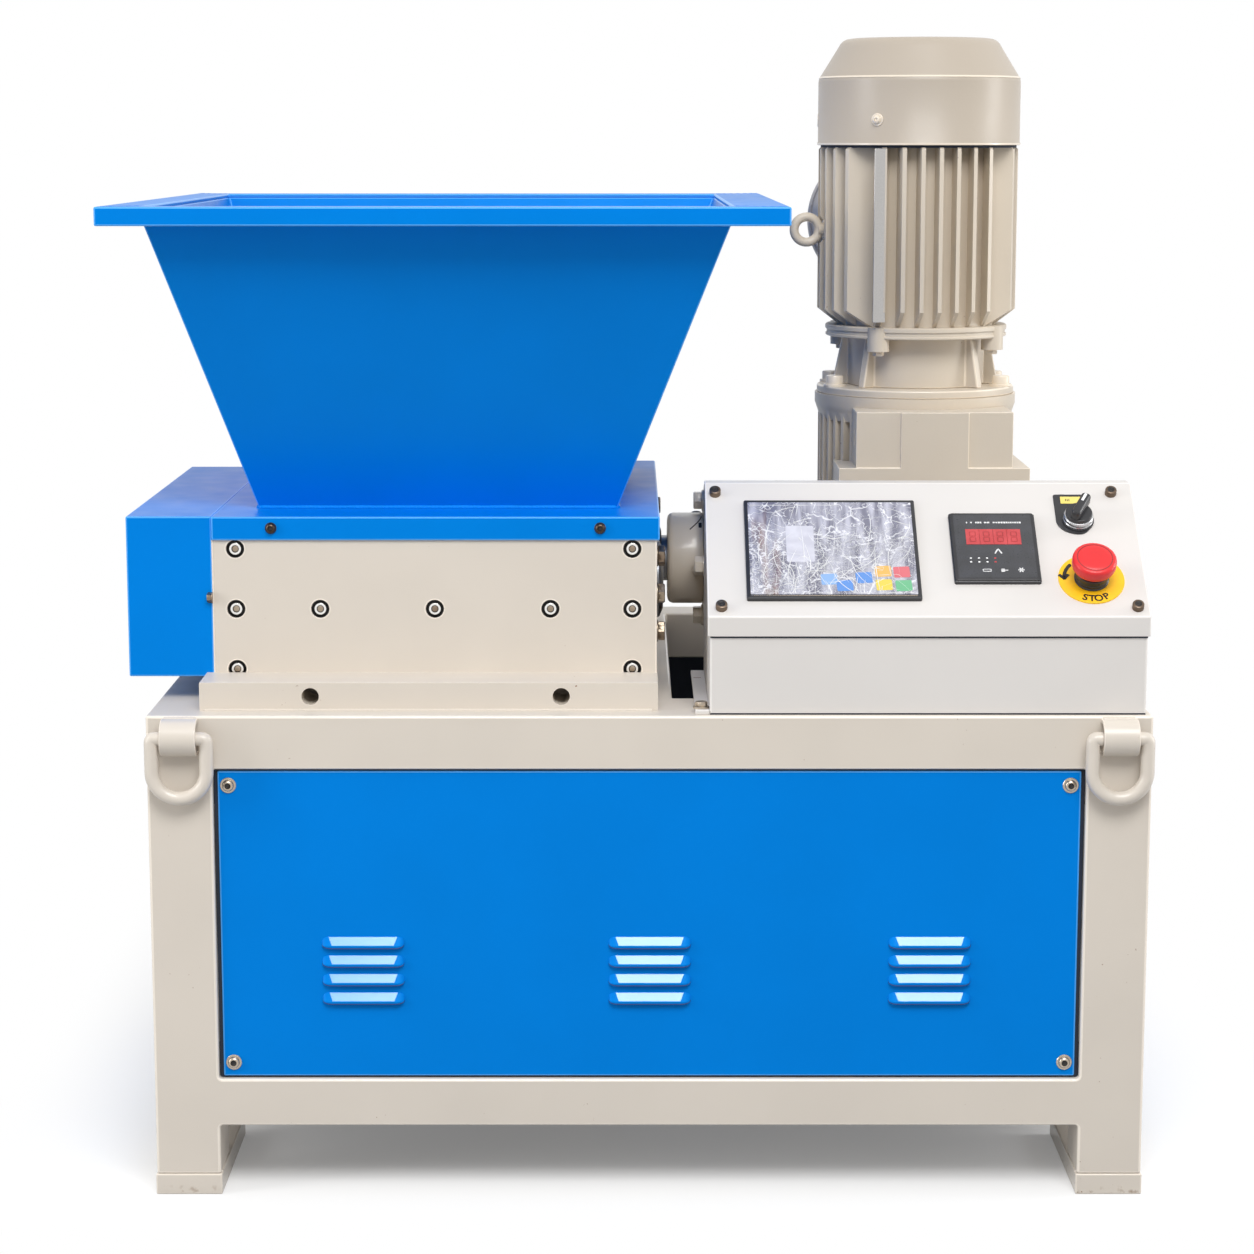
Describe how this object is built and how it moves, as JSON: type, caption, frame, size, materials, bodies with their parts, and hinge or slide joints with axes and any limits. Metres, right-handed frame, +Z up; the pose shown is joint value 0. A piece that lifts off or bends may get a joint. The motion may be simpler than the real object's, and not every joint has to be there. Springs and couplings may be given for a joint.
{
  "type": "double shaft shredder",
  "caption": "Double shaft shredder: hopper over a toothed cutting chamber, upright geared motor and sloping control box on a closed welded frame.",
  "frame": {"origin": "on the floor under the middle of the welded frame", "axes": "+X to the right along the rotors towards the drive, +Y to the back, +Z up"},
  "size_m": [0.9545, 0.695, 1.075],
  "materials": {
    "beige_paint": "satin powder coat, beige grey",
    "blue_paint": "satin powder coat, blue",
    "cream_paint": "fine textured powder coat, off white",
    "machined_steel": "turned and ground steel",
    "tool_steel": "hardened tool steel",
    "black_plastic": "moulded black plastic",
    "screen_glass": "glossy screen in a black bezel",
    "yellow_label": "yellow label plate",
    "red_plastic": "moulded red plastic"
  },
  "bodies": {
    "frame": {"posts": "beige_paint", "top_rails": "beige_paint", "bottom_rails": "beige_paint", "feet": "beige_paint", "table_top": "beige_paint", "panel_tabs": "beige_paint", "ring_straps": "beige_paint", "chamber_front_plate": "beige_paint", "chamber_rear_plate": "beige_paint", "left_bearing_plate": "beige_paint", "right_bearing_plate": "beige_paint", "base_bars": "beige_paint", "gearbox_output": "beige_paint", "gearbox_case": "beige_paint", "gearbox_barrel": "beige_paint", "motor_flange": "beige_paint", "motor_bell": "beige_paint", "motor_end_shield": "beige_paint", "motor_barrel": "beige_paint", "fan_cowl": "beige_paint", "terminal_box": "beige_paint", "eye_bolt": "beige_paint", "front_panel": "blue_paint", "rear_panel": "blue_paint", "left_panel": "blue_paint", "right_panel": "blue_paint", "hopper_cover": "blue_paint", "hopper_walls": "blue_paint", "hopper_rim": "blue_paint", "gear_cover": "blue_paint", "control_body": "cream_paint", "control_lid": "cream_paint", "control_bracket": "cream_paint", "bearing_caps": "machined_steel", "combs": "tool_steel", "panel_meter": "black_plastic", "selector_base": "black_plastic", "stop_collar": "black_plastic", "touch_screen": "screen_glass", "stop_label": "yellow_label"},
    "drive_rotor": {"drive_shaft": "machined_steel", "drive_cutters": "tool_steel", "drive_spacers": "tool_steel", "coupling": "beige_paint"},
    "driven_rotor": {"driven_shaft": "machined_steel", "driven_cutters": "tool_steel", "driven_spacers": "tool_steel"},
    "ring_fl": {"ring_front_left": "beige_paint"},
    "ring_fr": {"ring_front_right": "beige_paint"},
    "ring_rl": {"ring_rear_left": "beige_paint"},
    "ring_rr": {"ring_rear_right": "beige_paint"},
    "selector": {"selector_knob": "black_plastic"},
    "stop": {"stop_button": "red_plastic"}
  },
  "joints": [
    {"name": "drive_rotor_spin", "type": "hinge", "parent": "frame", "child": "drive_rotor", "pos_m": [0, 0.075, 0.546], "axis": [1, 0, 0], "continuous": true},
    {"name": "driven_rotor_spin", "type": "hinge", "parent": "frame", "child": "driven_rotor", "pos_m": [0, -0.075, 0.546], "axis": [1, 0, 0], "continuous": true},
    {"name": "ring_front_left_swing", "type": "hinge", "parent": "frame", "child": "ring_fl", "pos_m": [-0.4285, -0.3367, 0.437], "axis": [-1, 0, 0], "range_deg": [0, 170]},
    {"name": "ring_front_right_swing", "type": "hinge", "parent": "frame", "child": "ring_fr", "pos_m": [0.4285, -0.3367, 0.437], "axis": [-1, 0, 0], "range_deg": [0, 170]},
    {"name": "ring_rear_left_swing", "type": "hinge", "parent": "frame", "child": "ring_rl", "pos_m": [-0.4285, 0.3367, 0.437], "axis": [1, 0, 0], "range_deg": [0, 170]},
    {"name": "ring_rear_right_swing", "type": "hinge", "parent": "frame", "child": "ring_rr", "pos_m": [0.4285, 0.3367, 0.437], "axis": [1, 0, 0], "range_deg": [0, 170]},
    {"name": "selector_turn", "type": "hinge", "parent": "frame", "child": "selector", "pos_m": [0.401, -0.22645, 0.6225], "axis": [0, -0.624, 0.7814], "range_deg": [0, 60]},
    {"name": "stop_press", "type": "slide", "parent": "frame", "child": "stop", "axis": [0, 0.624, -0.7814], "range_m": [0, 0.005]}
  ],
  "couplings": [
    {"joint": "driven_rotor_spin", "follows": "drive_rotor_spin", "ratio": -1}
  ]
}
